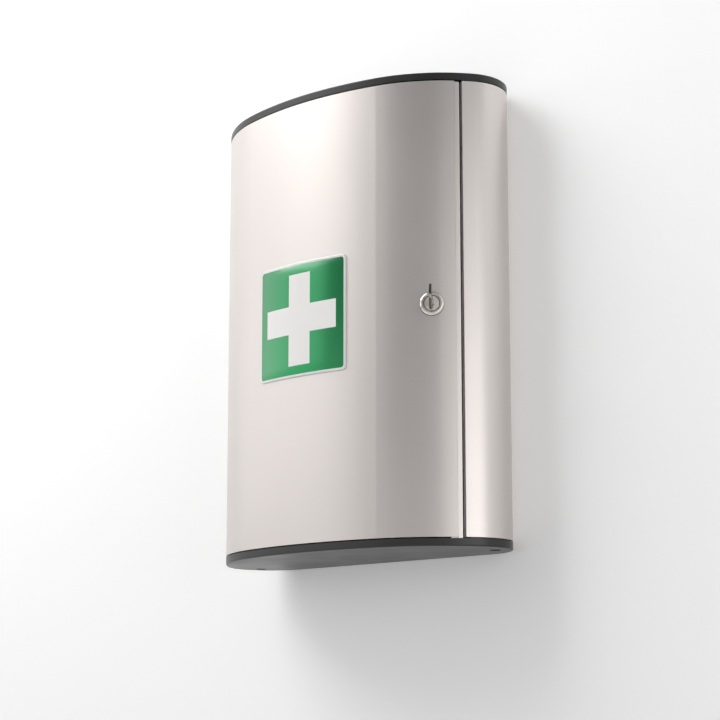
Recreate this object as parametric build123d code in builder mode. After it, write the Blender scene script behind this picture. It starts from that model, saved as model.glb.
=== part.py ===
from build123d import *
import os
from math import acos, asin, atan2, cos, degrees, radians, sin

os.makedirs("parts", exist_ok=True)

# Millimetres, +Z up, +X to the right of someone facing the door, the wall is the plane Y = 0
# and the origin is the middle of the four wall screws, at half the height of the cabinet.

# Overall size of the cabinet
width = 302.0
height = 400.0
depth = 118.0

# Plan outline, three tangent arcs on each half and flat at the wall
front_radius = 300.0
shoulder_radius = 125.0
end_radius = 39.0

# Plastic end caps
cap_rim_height = 6.5
cap_face = 2.5
cap_rim_wall = 2.4
cap_edge_radius = 1.2
cap_reveal = 1.0
cap_rib = 1.6
cap_rib_pitch_x = 38.0
cap_rib_count_x = 7
cap_rib_pitch_y = 38.0
cap_rib_count_y = 2
locating_height = 5.5
locating_wall = 1.8
locating_clearance = 0.3
locating_spans = ((62.0, 104.0), (130.0, 168.0))
rest_pad_setback = 4.5
rest_pad_length = 10.9
side_pad_spans = ((110.0, 123.0), (150.0, 158.0))
rest_pad_inset = 0.4
back_pad_width = 14.0
back_pad_spacing = 120.0
back_guide_length = 150.0

# Extruded side profiles
side_wall = 1.8
web_setback = 1.0
web_depth = 11.0
web_foot = 6.0
port_reach = 24.6
port_angle = 116.6
port_wall = 2.2
port_slot = 1.4
back_flange_length = 11.5

# Cap screws in the ports
cap_screw_radius = 2.1
cap_screw_clearance = 0.5
cap_screw_length = 16.0
cap_head_radius = 4.2
cap_head_height = 2.8
cap_recess_radius = 5.0
cap_recess_depth = 4.0
cap_boss_radius = 7.4
thread_clearance = 0.05

# Back panel, pressed sheet with its two edges stepped over the profile flanges
back_sheet = 1.5
back_lap = 8.5
back_step = 3.0
back_flange_gap = 0.5
wall_hole_radius = 2.75
wall_hole_spacing_x = 160.0
wall_hole_spacing_z = 280.0
wall_hole_dish_radius = 9.0
wall_hole_dish_depth = 0.6
rivet_radius = 1.6
rivet_head_radius = 3.1
rivet_head_height = 1.0
rivet_clearance = 0.05
back_rivet_margin = 36.5
back_rivet_rows = 4

# Door skin, hinge barrel and screw ports
door_wall = 1.8
door_edge_setback = 12.9
door_gap = 2.3
door_edge_round = 0.5
hinge_inset = 5.5
hinge_setback = 7.0
hinge_barrel_radius = 4.3
hinge_pin_radius = 2.0
hinge_running_clearance = 0.05
hinge_pin_seat = 4.5
hinge_pin_fit = 0.02
hinge_pin_reach = 8.0
bush_wall = 0.95
bush_fit = 0.02
bush_length = 10.0
bush_flange_height = 0.8
pivot_boss_radius = 4.6
door_port_setback = 59.8
door_port_radius = 3.4
door_port_inset = 4.6

# Strip that closes the free edge of the door, slipped down by its play
edge_strip_width = 4.0
edge_strip_joint = 0.1
edge_strip_return = 8.0
edge_strip_tongue = 9.5
edge_strip_tongue_wall = 1.4
edge_strip_drop = 1.0

# Door rails at the top and bottom
rail_hinge_setback = 18.3
rail_free_setback = 20.5
rail_height = 12.0
rail_depth = 13.0
rail_wall = 2.0
rail_fit = 0.1
rail_screw_radius = 1.4
rail_screw_length = 12.0
rail_screw_head_radius = 2.8
rail_screw_head_height = 1.4
rail_notch_clearance = 0.3

# Strike strip and seal on the right profile
strike_wall = 1.5
strike_leg_start = 3.5
strike_depth = 15.0
strike_reach = 15.5
strike_rivet_depth = 6.4
strike_rivet_head_radius = 2.4
strike_rivet_margin = 32.5
strike_rivet_count = 3
seal_width = 5.5
seal_gap = 0.3

# Shelves
shelf_side_clearance = 38.0
shelf_inset = 12.5
shelf_floor = 2.0
shelf_lip_wall = 1.8
shelf_front_lip = 24.0
shelf_side_lip = 10.0
shelf_dip_width = 110.0
shelf_dip_depth = 12.0
shelf_back_clearance = 0.5
shelf_upstand = 22.0
shelf_boss_radius = 5.0
shelf_corner_radius = 10.0
shelf_screw_spacing = 150.0
shelf_screw_radius = 1.7
shelf_screw_head_radius = 3.4
shelf_screw_head_height = 2.2
shelf_screw_length = 5.4
shelf_gusset = 14.0
shelf_gusset_spacing = 55.0
upper_shelf_level = 62.0
lower_shelf_level = -66.0

# First aid sign, a thin domed plate on the front of the door
sign_side = 100.0
sign_offset = -3.5
sign_thickness = 1.2
sign_corner_radius = 4.0
sign_dome_radius = 0.7

# Wafer cam lock
lock_setback = 24.1
rosette_radius = 10.1
rosette_height = 2.4
rosette_bevel = 1.3
rosette_lip = 2.4
rosette_dish = 0.5
barrel_radius = 8.0
barrel_flat = 7.0
barrel_length = 16.0
barrel_hole_clearance = 0.15
gasket_height = 0.5
gasket_overhang = 0.2
nut_across_flats = 22.0
nut_height = 3.0
nut_stand_off = 0.6
nut_chamfer = 0.5
plug_radius = 6.4
plug_running_clearance = 0.05
plug_recess = 0.6
plug_face_chamfer = 0.3
tang_side = 6.5
tang_length = 1.9
cam_wall = 2.0
cam_width = 14.0
cam_reach = 31.0
cam_hub_radius = 8.5
cam_lift = 0.2
cam_fit = 0.05
cam_screw_radius = 2.0
cam_screw_depth = 5.0
cam_screw_head_radius = 4.4
cam_screw_head_height = 2.4
cam_screw_slot = 1.2
cam_washer_radius = 5.6
cam_washer_height = 0.8
wafer_count = 5
wafer_pitch = 2.3
wafer_start = 3.2
wafer_wall = 1.0
wafer_width = 5.0
wafer_fit = 0.1
wafer_bore_clearance = 0.15
keyway_width = 2.2
keyway_height = 7.6
keyway_depth = 14.6
keyway_groove_depth = 0.9
ward_offset = 1.3
ward_height = 1.1
ward_clearance = 0.15

# Key
key_wall = 1.9
key_blade_height = 7.0
key_blade_depth = 14.0
key_groove_depth = 0.45
key_groove_run_out = 2.0
key_shoulder_height = 9.0
key_shoulder_clearance = 0.2
key_tip_chamfer = 0.8
key_bow_radius = 10.4
key_bow_reach = 25.4
key_hole_radius = 2.6
key_notch_depths = (1.2, 2.0, 0.8, 1.6, 1.0)

# Levels
half_height = height / 2
rim_level = half_height - cap_rim_height
end_level = rim_level - cap_reveal
profile_length = 2 * end_level

# Outline: centres of the arcs and the normal angles at which they meet. A normal angle is
# counted from straight ahead of the cabinet, positive towards its right side.
front_centre = Vector(0, front_radius - depth)
end_centre = Vector(width / 2 - end_radius, -end_radius)
front_to_end = end_centre - front_centre
front_to_shoulder = front_radius - shoulder_radius
shoulder_to_end = shoulder_radius - end_radius
spread = acos(
    (front_to_shoulder**2 + front_to_end.length**2 - shoulder_to_end**2)
    / (2 * front_to_shoulder * front_to_end.length)
)
front_angle = degrees(atan2(front_to_end.X, -front_to_end.Y) - spread)
shoulder_centre = front_centre + front_to_shoulder * Vector(
    sin(radians(front_angle)), -cos(radians(front_angle))
)
shoulder_to_end_line = end_centre - shoulder_centre
shoulder_angle = degrees(atan2(shoulder_to_end_line.X, -shoulder_to_end_line.Y))

outline_stretches = (
    (Vector(-end_centre.X, end_centre.Y), end_radius, -180.0, -shoulder_angle),
    (Vector(-shoulder_centre.X, shoulder_centre.Y), shoulder_radius, -shoulder_angle, -front_angle),
    (front_centre, front_radius, -front_angle, front_angle),
    (shoulder_centre, shoulder_radius, front_angle, shoulder_angle),
    (end_centre, end_radius, shoulder_angle, 180.0),
)


def outward(angle):
    """Unit vector square to the outline at a normal angle."""
    return Vector(sin(radians(angle)), -cos(radians(angle)))


def along(angle):
    """Unit vector along the outline at a normal angle, towards the right."""
    return Vector(cos(radians(angle)), sin(radians(angle)))


def outline_point(inset, angle):
    """Point of the outline at a normal angle, set in from the outer face."""
    for centre, radius, low, high in outline_stretches:
        if low <= angle <= high:
            return centre + (radius - inset) * outward(angle)


def outline_arcs(inset, start, end):
    """Arcs of the outline between two normal angles, set in from the outer face."""
    for centre, radius, low, high in outline_stretches:
        first = max(start, low)
        last = min(end, high)
        if first < last:
            CenterArc(centre, radius - inset, first - 90, last - first)


def wall_strip(outer, inner, start, end):
    """Closed line round a strip of wall between two insets and two normal angles."""
    outline_arcs(outer, start, end)
    outline_arcs(inner, start, end)
    Line(outline_point(outer, start), outline_point(inner, start))
    Line(outline_point(outer, end), outline_point(inner, end))


def whole_outline(inset):
    """Closed line round the whole plan outline, set in from the outer face."""
    outline_arcs(inset, -180, 180)
    Line((-end_centre.X, -inset), (end_centre.X, -inset))


def degrees_along_shoulder(length, inset=0.0):
    """Angle that a length takes on the shoulder arc."""
    return degrees(length / (shoulder_radius - inset))


# Places that several pieces share
door_half_angle = shoulder_angle - degrees_along_shoulder(door_edge_setback)
side_edge_angle = door_half_angle + degrees_along_shoulder(door_gap)
web_angle = side_edge_angle + degrees_along_shoulder(web_setback)
rest_pad_start = side_edge_angle + degrees_along_shoulder(rest_pad_setback)
rest_pad_end = rest_pad_start + degrees_along_shoulder(rest_pad_length)
rest_pad_spans = ((rest_pad_start, rest_pad_end), *side_pad_spans)
hinge_angle = -door_half_angle + degrees_along_shoulder(hinge_setback, hinge_inset)
hinge_axis = outline_point(hinge_inset, hinge_angle)
lock_angle = door_half_angle - degrees_along_shoulder(lock_setback)
lock_face = outline_point(0, lock_angle)
lock_plane = Plane(
    origin=(lock_face.X, lock_face.Y, 0),
    x_dir=(along(lock_angle).X, along(lock_angle).Y, 0),
    z_dir=(outward(lock_angle).X, outward(lock_angle).Y, 0),
)
port_centre = end_centre + port_reach * outward(port_angle)
port_bore_radius = cap_screw_radius + thread_clearance
port_outer_radius = port_bore_radius + port_wall
flange_end = end_centre.X - back_flange_length
rivet_hole_radius = rivet_radius + rivet_clearance
back_lap_end = flange_end + back_lap
back_rivet_x = (flange_end + back_lap_end) / 2
barrel_bore_radius = plug_radius + plug_running_clearance
strip_angle = door_half_angle - degrees_along_shoulder(edge_strip_width)
panel_end_angle = strip_angle - degrees_along_shoulder(edge_strip_joint)
tongue_angle = door_half_angle - degrees_along_shoulder(edge_strip_tongue)
rail_start_angle = -door_half_angle + degrees_along_shoulder(rail_hinge_setback)
rail_end_angle = door_half_angle - degrees_along_shoulder(rail_free_setback)
door_port_angle = door_half_angle - degrees_along_shoulder(door_port_setback)
door_port_centres = [
    outline_point(door_port_inset, angle) for angle in (-door_port_angle, door_port_angle)
]

web_root = outline_point(0, web_angle)
web_tilt = web_angle - lock_angle
web_root_depth = (lock_face - web_root).dot(outward(lock_angle))
leg_end = (strike_depth - web_root_depth) / cos(radians(web_tilt))
ledge_end = (web_root - leg_end * outward(web_angle) - lock_face).dot(along(lock_angle))
return_tip = outline_point(0, door_half_angle) - edge_strip_return * outward(door_half_angle)
seal_height = strike_depth - strike_wall - seal_gap - (lock_face - return_tip).dot(outward(lock_angle))
back_rivet_spacing = (profile_length - 2 * back_rivet_margin) / (back_rivet_rows - 1)
strike_rivet_spacing = (profile_length - 2 * strike_rivet_margin) / (strike_rivet_count - 1)
strike_rivet_levels = [
    strike_rivet_margin - end_level + strike_rivet_spacing * row for row in range(strike_rivet_count)
]
strike_rivet_sink = strike_rivet_head_radius - rivet_radius
back_step_start = flange_end - back_flange_gap - back_step
shelf_back = side_wall + back_sheet + shelf_back_clearance
shelf_half_width = width / 2 - shelf_side_clearance
shelf_side_angle = degrees(
    asin((shelf_half_width - shoulder_centre.X) / (shoulder_radius - shelf_inset))
)
shelf_lip_angle = shelf_side_angle - degrees_along_shoulder(shelf_corner_radius, shelf_inset)
shelf_screw_rise = shelf_upstand / 2 + shelf_floor
shelf_screw_levels = [level + shelf_screw_rise for level in (lower_shelf_level, upper_shelf_level)]
bush_outer_radius = hinge_pin_radius + hinge_running_clearance + bush_wall
rail_screw_bore = rail_screw_radius + thread_clearance
rosette_face = gasket_height + rosette_height
plug_face = rosette_face - plug_recess
plug_end = -barrel_length - cam_lift
cam_face = plug_end - cam_wall
washer_face = cam_face - cam_washer_height
wafer_reaches = [plug_face - wafer_start - wafer_pitch * place for place in range(wafer_count)]
ward_tip = key_wall / 2 - key_groove_depth + ward_clearance
key_plane = Plane(
    origin=lock_plane.origin,
    x_dir=lock_plane.z_dir,
    z_dir=(outward(lock_angle).Y, -outward(lock_angle).X, 0),
)
sign_start_angle = degrees(asin((sign_offset - sign_side / 2) / front_radius))
sign_end_angle = degrees(asin((sign_offset + sign_side / 2) / front_radius))


def strike_rivet_plane(level):
    """Near face of the web at a strike rivet, facing along the rivet towards the right."""
    centre = web_root - strike_rivet_depth * outward(web_angle)
    direction = along(web_angle)
    return Plane(origin=(centre.X, centre.Y, level), z_dir=(direction.X, direction.Y, 0))


def facing_middle(place, level):
    """Level plane at a place of the plan, turned to face the middle height of the cabinet."""
    return Plane(origin=(place.X, place.Y, level), z_dir=(0, 0, -1 if level > 0 else 1))


# Bottom cap: open-backed moulding with a rim, ribs, bosses, rest pads and locating walls
with BuildPart() as bottom_cap:
    with BuildSketch(Plane.XY.offset(-half_height)):
        with BuildLine():
            whole_outline(0)
        make_face()
    extrude(amount=cap_rim_height)
    fillet(bottom_cap.faces().sort_by(Axis.Z)[0].edges(), cap_edge_radius)
    with BuildSketch(Plane.XY.offset(-half_height + cap_face)):
        with BuildLine():
            whole_outline(cap_rim_wall)
        make_face()
    extrude(amount=cap_rim_height, mode=Mode.SUBTRACT)
    with BuildSketch(Plane.XY.offset(-half_height + cap_face)):
        with Locations((0, -depth / 2)):
            with GridLocations(cap_rib_pitch_x, 0, cap_rib_count_x, 1):
                Rectangle(cap_rib, depth)
            with GridLocations(0, cap_rib_pitch_y, 1, cap_rib_count_y):
                Rectangle(width, cap_rib)
        with BuildLine():
            whole_outline(cap_rim_wall / 2)
        make_face(mode=Mode.INTERSECT)
    extrude(amount=cap_rim_height - cap_face)
    with BuildSketch(Plane.XY.offset(-half_height + cap_face)):
        for side in (-1, 1):
            with Locations((side * port_centre.X, port_centre.Y)):
                Circle(cap_boss_radius)
        with Locations((0, -side_wall / 2)):
            with GridLocations(back_pad_spacing, 0, 2, 1):
                Rectangle(back_pad_width, side_wall)
        for start, end in rest_pad_spans:
            for first, last in ((start, end), (-end, -start)):
                with BuildLine():
                    wall_strip(rest_pad_inset, side_wall + locating_clearance, first, last)
                make_face()
    extrude(amount=cap_rim_height - cap_face + cap_reveal)
    with BuildSketch(Plane.XY.offset(-half_height + cap_face)):
        for start, end in locating_spans:
            for first, last in ((start, end), (-end, -start)):
                with BuildLine():
                    wall_strip(
                        side_wall + locating_clearance,
                        side_wall + locating_clearance + locating_wall,
                        first,
                        last,
                    )
                make_face()
        with Locations((0, -back_sheet - locating_clearance - locating_wall / 2)):
            Rectangle(back_guide_length, locating_wall)
    extrude(amount=cap_rim_height - cap_face + cap_reveal + locating_height)
    with BuildSketch(Plane.XY.offset(-half_height + cap_face)):
        with Locations((hinge_axis.X, hinge_axis.Y)):
            Circle(pivot_boss_radius)
    extrude(amount=cap_rim_height - cap_face)
    with BuildSketch(Plane.XY.offset(-rim_level)):
        with Locations((hinge_axis.X, hinge_axis.Y)):
            Circle(hinge_pin_radius + hinge_pin_fit)
    extrude(amount=-hinge_pin_seat, mode=Mode.SUBTRACT)
    with Locations(Plane.XY.offset(-half_height)):
        with Locations(
            Location((port_centre.X, port_centre.Y, 0), (180, 0, 0)),
            Location((-port_centre.X, port_centre.Y, 0), (180, 0, 0)),
        ):
            CounterBoreHole(
                cap_screw_radius + cap_screw_clearance, cap_recess_radius, cap_recess_depth
            )

# Top cap: the same moulding the other way up
with BuildPart() as top_cap:
    add(mirror(bottom_cap.part, about=Plane.XY))

# Cap screws: socket head screws in the recesses of both caps
with BuildPart() as cap_screws:
    for level in (-half_height, half_height):
        for side in (-1, 1):
            place = Vector(side * port_centre.X, port_centre.Y)
            seat = facing_middle(place, level).offset(cap_recess_depth)
            with BuildSketch(seat):
                Circle(cap_head_radius)
            extrude(amount=-cap_head_height)
            with BuildSketch(seat):
                Circle(cap_screw_radius)
            extrude(amount=cap_screw_length)
            with BuildSketch(seat.offset(-cap_head_height)):
                RegularPolygon(cap_screw_radius, 6)
            extrude(amount=cap_head_height / 2, mode=Mode.SUBTRACT)

# Side extrusion: skin, front web with a foot, screw port on its own web and a flange at the wall
with BuildPart() as side_extrusion:
    with BuildSketch(Plane.XY.offset(-end_level)):
        with BuildLine():
            wall_strip(0, side_wall, side_edge_angle, 180)
        make_face()
        with Locations((flange_end, 0)):
            Rectangle(back_flange_length, side_wall, align=(Align.MIN, Align.MAX))
        with Locations(Location((web_root.X, web_root.Y), web_angle)):
            with Locations((0, side_wall / 2)):
                Rectangle(side_wall, web_depth - side_wall / 2, align=(Align.MIN, Align.MIN))
            with Locations((0, web_depth)):
                Rectangle(web_foot, side_wall, align=(Align.MIN, Align.MAX))
        with Locations(Location((end_centre.X, end_centre.Y), port_angle)):
            with Locations((0, -port_reach)):
                Rectangle(
                    side_wall, end_radius - port_reach - side_wall / 2, align=(Align.CENTER, Align.MAX)
                )
        with Locations((port_centre.X, port_centre.Y)):
            Circle(port_outer_radius)
            Circle(port_bore_radius, mode=Mode.SUBTRACT)
        with Locations(Location((port_centre.X, port_centre.Y), port_angle)):
            Rectangle(
                port_slot, 2 * port_outer_radius, align=(Align.CENTER, Align.MIN), mode=Mode.SUBTRACT
            )
    extrude(amount=profile_length)
    front_corner = outline_point(0, side_edge_angle)
    fillet(
        side_extrusion.edges().filter_by(Axis.Z).sort_by_distance((front_corner.X, front_corner.Y, 0))[0],
        door_edge_round,
    )
    with BuildSketch(Plane.XZ):
        with Locations((back_rivet_x, 0)):
            with GridLocations(0, back_rivet_spacing, 1, back_rivet_rows):
                Circle(rivet_hole_radius)
    extrude(amount=2 * side_wall, both=True, mode=Mode.SUBTRACT)

with BuildPart() as left_side_profile:
    add(mirror(side_extrusion.part, about=Plane.YZ))

# The right profile is drilled for the strike strip
with BuildPart() as right_side_profile:
    add(side_extrusion.part)
    for level in strike_rivet_levels:
        with BuildSketch(strike_rivet_plane(level)):
            Circle(rivet_hole_radius)
        extrude(amount=2 * side_wall, mode=Mode.SUBTRACT)

# Strike strip: an angle on the web, whose ledge holds the cam behind it and the seal in front
with BuildPart() as strike_strip:
    with BuildSketch(Plane.XY.offset(-end_level)):
        with Locations(Location((lock_face.X, lock_face.Y), lock_angle)):
            with Locations((strike_reach, strike_depth)):
                Rectangle(ledge_end - strike_reach, strike_wall, align=(Align.MIN, Align.MAX))
        with Locations(Location((web_root.X, web_root.Y), web_angle)):
            with Locations((0, strike_leg_start)):
                Rectangle(strike_wall, leg_end - strike_leg_start, align=(Align.MAX, Align.MIN))
    extrude(amount=profile_length)
    for level in strike_rivet_levels:
        with BuildSketch(strike_rivet_plane(level)):
            Circle(rivet_hole_radius)
        extrude(amount=-2 * strike_wall, mode=Mode.SUBTRACT)
        with BuildSketch(strike_rivet_plane(level).offset(-strike_wall)):
            Circle(strike_rivet_head_radius)
        extrude(amount=strike_rivet_sink, taper=45, mode=Mode.SUBTRACT)

# Strike rivets: a countersunk head flush beside the door and a set tail behind the web
with BuildPart() as strike_rivets:
    for level in strike_rivet_levels:
        face = strike_rivet_plane(level)
        with BuildSketch(face.offset(-strike_wall)):
            Circle(rivet_radius)
        extrude(amount=strike_wall + side_wall)
        with BuildSketch(face.offset(-strike_wall)):
            Circle(strike_rivet_head_radius - rivet_clearance)
        extrude(amount=strike_rivet_sink - rivet_clearance, taper=45)
        with BuildSketch(face.offset(side_wall)):
            Circle(strike_rivet_head_radius)
        extrude(amount=rivet_head_height, taper=20)

# Seal: soft strip on the ledge, which the return of the door's edge strip closes on
with BuildPart() as door_seal:
    with BuildSketch(Plane.XY.offset(-end_level)):
        with Locations(Location((lock_face.X, lock_face.Y), lock_angle)):
            with Locations((strike_reach + strike_wall, strike_depth - strike_wall)):
                Rectangle(seal_width, seal_height, align=(Align.MIN, Align.MAX))
    extrude(amount=profile_length)
    fillet(
        door_seal.faces().sort_by(Axis(lock_plane.origin, lock_plane.z_dir))[-1].edges().filter_by(Axis.Z),
        seal_height / 3,
    )

# Back panel
with BuildPart() as back_panel:
    with BuildSketch(Plane.XY.offset(-end_level)):
        with BuildLine():
            Polyline(
                (0, 0),
                (back_step_start, 0),
                (back_step_start + back_step, -side_wall),
                (back_lap_end, -side_wall),
                (back_lap_end, -side_wall - back_sheet),
                (back_step_start + back_step, -side_wall - back_sheet),
                (back_step_start, -back_sheet),
                (0, -back_sheet),
            )
            mirror(about=Plane.YZ)
        make_face()
    extrude(amount=profile_length)
    with BuildSketch(Plane.XZ):
        with GridLocations(wall_hole_spacing_x, wall_hole_spacing_z, 2, 2):
            Circle(wall_hole_radius)
        with GridLocations(2 * back_rivet_x, back_rivet_spacing, 2, back_rivet_rows):
            Circle(rivet_hole_radius)
        for level in shelf_screw_levels:
            with Locations((0, level)):
                with GridLocations(shelf_screw_spacing, 0, 2, 1):
                    Circle(shelf_screw_radius + thread_clearance)
    extrude(amount=2 * (side_wall + back_sheet), both=True, mode=Mode.SUBTRACT)
    with BuildSketch(Plane.XZ.offset(back_sheet)):
        with GridLocations(wall_hole_spacing_x, wall_hole_spacing_z, 2, 2):
            Circle(wall_hole_dish_radius)
    extrude(amount=-wall_hole_dish_depth, taper=45, mode=Mode.SUBTRACT)

# Back rivets: flush at the wall, with a low head inside
with BuildPart() as back_rivets:
    with BuildSketch(Plane.XZ):
        with GridLocations(2 * back_rivet_x, back_rivet_spacing, 2, back_rivet_rows):
            Circle(rivet_radius)
    extrude(amount=side_wall + back_sheet)
    with BuildSketch(Plane.XZ.offset(side_wall + back_sheet)):
        with GridLocations(2 * back_rivet_x, back_rivet_spacing, 2, back_rivet_rows):
            Circle(rivet_head_radius)
    extrude(amount=rivet_head_height, taper=25)

# Shelf: a tray with a curved front lip, a rear upstand on two bosses, and gussets
with BuildPart() as shelf:
    with BuildSketch() as shelf_plan:
        with BuildLine():
            outline_arcs(shelf_inset, -shelf_side_angle, shelf_side_angle)
            Polyline(
                tuple(outline_point(shelf_inset, -shelf_side_angle))[:2],
                (-shelf_half_width, -shelf_back),
                (shelf_half_width, -shelf_back),
                tuple(outline_point(shelf_inset, shelf_side_angle))[:2],
            )
        make_face()
        fillet(shelf_plan.vertices().group_by(Axis.X)[0], shelf_corner_radius)
        fillet(shelf_plan.vertices().group_by(Axis.X)[-1], shelf_corner_radius)
    extrude(amount=shelf_side_lip)
    with BuildSketch(Plane.XY.offset(shelf_floor)):
        add(shelf_plan.sketch)
        offset(amount=-shelf_lip_wall, mode=Mode.REPLACE)
    extrude(amount=shelf_side_lip, mode=Mode.SUBTRACT)
    with BuildSketch():
        with BuildLine():
            wall_strip(shelf_inset, shelf_inset + shelf_lip_wall, -shelf_lip_angle, shelf_lip_angle)
        make_face()
    extrude(amount=shelf_front_lip)
    with BuildSketch(Plane.XZ.offset(shelf_back)):
        with Locations((0, shelf_front_lip)):
            RectangleRounded(shelf_dip_width, 2 * shelf_dip_depth, shelf_dip_depth / 2)
    extrude(amount=depth, mode=Mode.SUBTRACT)
    with BuildSketch(Plane.XZ.offset(shelf_back)):
        with Locations((0, shelf_upstand / 2)):
            RectangleRounded(shelf_screw_spacing + shelf_upstand, shelf_upstand, shelf_boss_radius)
    extrude(amount=shelf_lip_wall)
    with BuildSketch(Plane.XZ.offset(back_sheet)):
        with Locations((0, shelf_screw_rise)):
            with GridLocations(shelf_screw_spacing, 0, 2, 1):
                Circle(shelf_boss_radius)
    extrude(amount=shelf_back - back_sheet + shelf_lip_wall)
    with BuildSketch(Plane.XZ):
        with Locations((0, shelf_screw_rise)):
            with GridLocations(shelf_screw_spacing, 0, 2, 1):
                Circle(shelf_screw_radius + thread_clearance)
    extrude(amount=2 * shelf_back, mode=Mode.SUBTRACT)
    for offset_x in (-shelf_gusset_spacing, 0, shelf_gusset_spacing):
        with BuildSketch(Plane.YZ.offset(offset_x)):
            with BuildLine():
                Polyline(
                    (-shelf_back, shelf_floor / 2),
                    (-shelf_back - shelf_gusset, shelf_floor / 2),
                    (-shelf_back, shelf_floor / 2 + shelf_gusset),
                    close=True,
                )
            make_face()
        extrude(amount=shelf_lip_wall / 2, both=True)

with BuildPart() as upper_shelf:
    with Locations((0, 0, upper_shelf_level)):
        add(shelf.part)

with BuildPart() as lower_shelf:
    with Locations((0, 0, lower_shelf_level)):
        add(shelf.part)

# Shelf screws: pan heads on the upstands, threaded into the back panel
with BuildPart() as shelf_screws:
    head_seat = Plane.XZ.offset(shelf_back + shelf_lip_wall)
    for level in shelf_screw_levels:
        with BuildSketch(head_seat):
            with Locations((0, level)):
                with GridLocations(shelf_screw_spacing, 0, 2, 1):
                    Circle(shelf_screw_radius)
        extrude(amount=-shelf_screw_length)
        with BuildSketch(head_seat):
            with Locations((0, level)):
                with GridLocations(shelf_screw_spacing, 0, 2, 1):
                    Circle(shelf_screw_head_radius)
        extrude(amount=shelf_screw_head_height, taper=12)

# Hinge pins: fixed in the caps, one at each end of the door
with BuildPart() as hinge_pins:
    for level in (-rim_level, rim_level):
        with BuildSketch(facing_middle(hinge_axis, level).offset(-hinge_pin_seat)):
            Circle(hinge_pin_radius)
        extrude(amount=hinge_pin_seat + hinge_pin_reach)

# Hinge bushes: flanged sleeves in the ends of the door's hinge barrel
with BuildPart() as hinge_bushes:
    for level in (-end_level, end_level):
        seat = facing_middle(hinge_axis, level)
        with BuildSketch(seat):
            Circle(bush_outer_radius - bush_fit)
        extrude(amount=bush_length)
        with BuildSketch(seat.offset(-bush_flange_height)):
            Circle(hinge_barrel_radius)
        extrude(amount=bush_flange_height)
        with BuildSketch(seat.offset(-bush_flange_height)):
            Circle(hinge_pin_radius + hinge_running_clearance)
        extrude(amount=bush_flange_height + bush_length, mode=Mode.SUBTRACT)

# Door panel: one extrusion with a hinge barrel and two screw ports on its inner face
with BuildPart() as door_panel:
    with BuildSketch(Plane.XY.offset(-end_level)):
        with BuildLine():
            wall_strip(0, door_wall, -door_half_angle, panel_end_angle)
        make_face()
        with Locations((hinge_axis.X, hinge_axis.Y)):
            Circle(hinge_barrel_radius)
            Circle(bush_outer_radius, mode=Mode.SUBTRACT)
        for centre in door_port_centres:
            with Locations((centre.X, centre.Y)):
                Circle(door_port_radius)
                Circle(rail_screw_bore, mode=Mode.SUBTRACT)
    extrude(amount=profile_length)
    hinge_corner = outline_point(0, -door_half_angle)
    fillet(
        door_panel.edges().filter_by(Axis.Z).sort_by_distance((hinge_corner.X, hinge_corner.Y, 0))[0],
        door_edge_round,
    )
    for level in (-end_level, end_level):
        with BuildSketch(Plane.XY.offset(level)):
            with BuildLine():
                wall_strip(door_wall, rail_depth, rail_start_angle, rail_end_angle)
            make_face()
        extrude(amount=rail_wall if level < 0 else -rail_wall, mode=Mode.SUBTRACT)
    with BuildSketch(lock_plane):
        Circle(barrel_radius + barrel_hole_clearance)
        Rectangle(
            2 * (barrel_flat + barrel_hole_clearance), 3 * barrel_radius, mode=Mode.INTERSECT
        )
    extrude(amount=2 * door_wall, both=True, mode=Mode.SUBTRACT)

# Door edge strip: flush land, return and a tongue bonded behind the panel
with BuildPart() as door_edge_strip:
    with BuildSketch(Plane.XY.offset(-end_level - edge_strip_drop)):
        with BuildLine():
            wall_strip(0, door_wall, strip_angle, door_half_angle)
        make_face()
        with BuildLine():
            wall_strip(door_wall, door_wall + edge_strip_tongue_wall, tongue_angle, door_half_angle)
        make_face()
        edge_root = outline_point(0, door_half_angle)
        with Locations(Location((edge_root.X, edge_root.Y), door_half_angle)):
            with Locations((0, door_wall / 2)):
                Rectangle(
                    door_wall, edge_strip_return - door_wall / 2, align=(Align.MAX, Align.MIN)
                )
    extrude(amount=profile_length)
    fillet(
        door_edge_strip.edges().filter_by(Axis.Z).sort_by_distance((edge_root.X, edge_root.Y, 0))[0],
        door_edge_round,
    )

# Door rails: a channel across each end of the door, notched round the screw ports
with BuildPart() as door_bottom_rail:
    with BuildSketch(Plane.XY.offset(-end_level)):
        with BuildLine():
            wall_strip(door_wall + rail_fit, rail_depth, rail_start_angle, rail_end_angle)
        make_face()
    extrude(amount=rail_height)
    with BuildSketch(Plane.XY.offset(-end_level + rail_wall)):
        with BuildLine():
            wall_strip(
                door_wall + rail_fit + rail_wall,
                rail_depth - rail_wall,
                rail_start_angle - 1,
                rail_end_angle + 1,
            )
        make_face()
    extrude(amount=rail_height, mode=Mode.SUBTRACT)
    with BuildSketch(Plane.XY.offset(-end_level + rail_wall)):
        for centre in door_port_centres:
            with Locations((centre.X, centre.Y)):
                Circle(door_port_radius + rail_notch_clearance)
    extrude(amount=rail_height, mode=Mode.SUBTRACT)
    with BuildSketch(Plane.XY.offset(-end_level)):
        for centre in door_port_centres:
            with Locations((centre.X, centre.Y)):
                Circle(rail_screw_bore)
    extrude(amount=rail_wall, mode=Mode.SUBTRACT)
    with BuildSketch(Plane.XY.offset(-end_level)):
        for centre in door_port_centres:
            with Locations((centre.X, centre.Y)):
                Circle(rail_screw_head_radius)
    extrude(amount=rail_screw_head_height, taper=45, mode=Mode.SUBTRACT)

with BuildPart() as door_top_rail:
    add(mirror(door_bottom_rail.part, about=Plane.XY))

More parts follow.
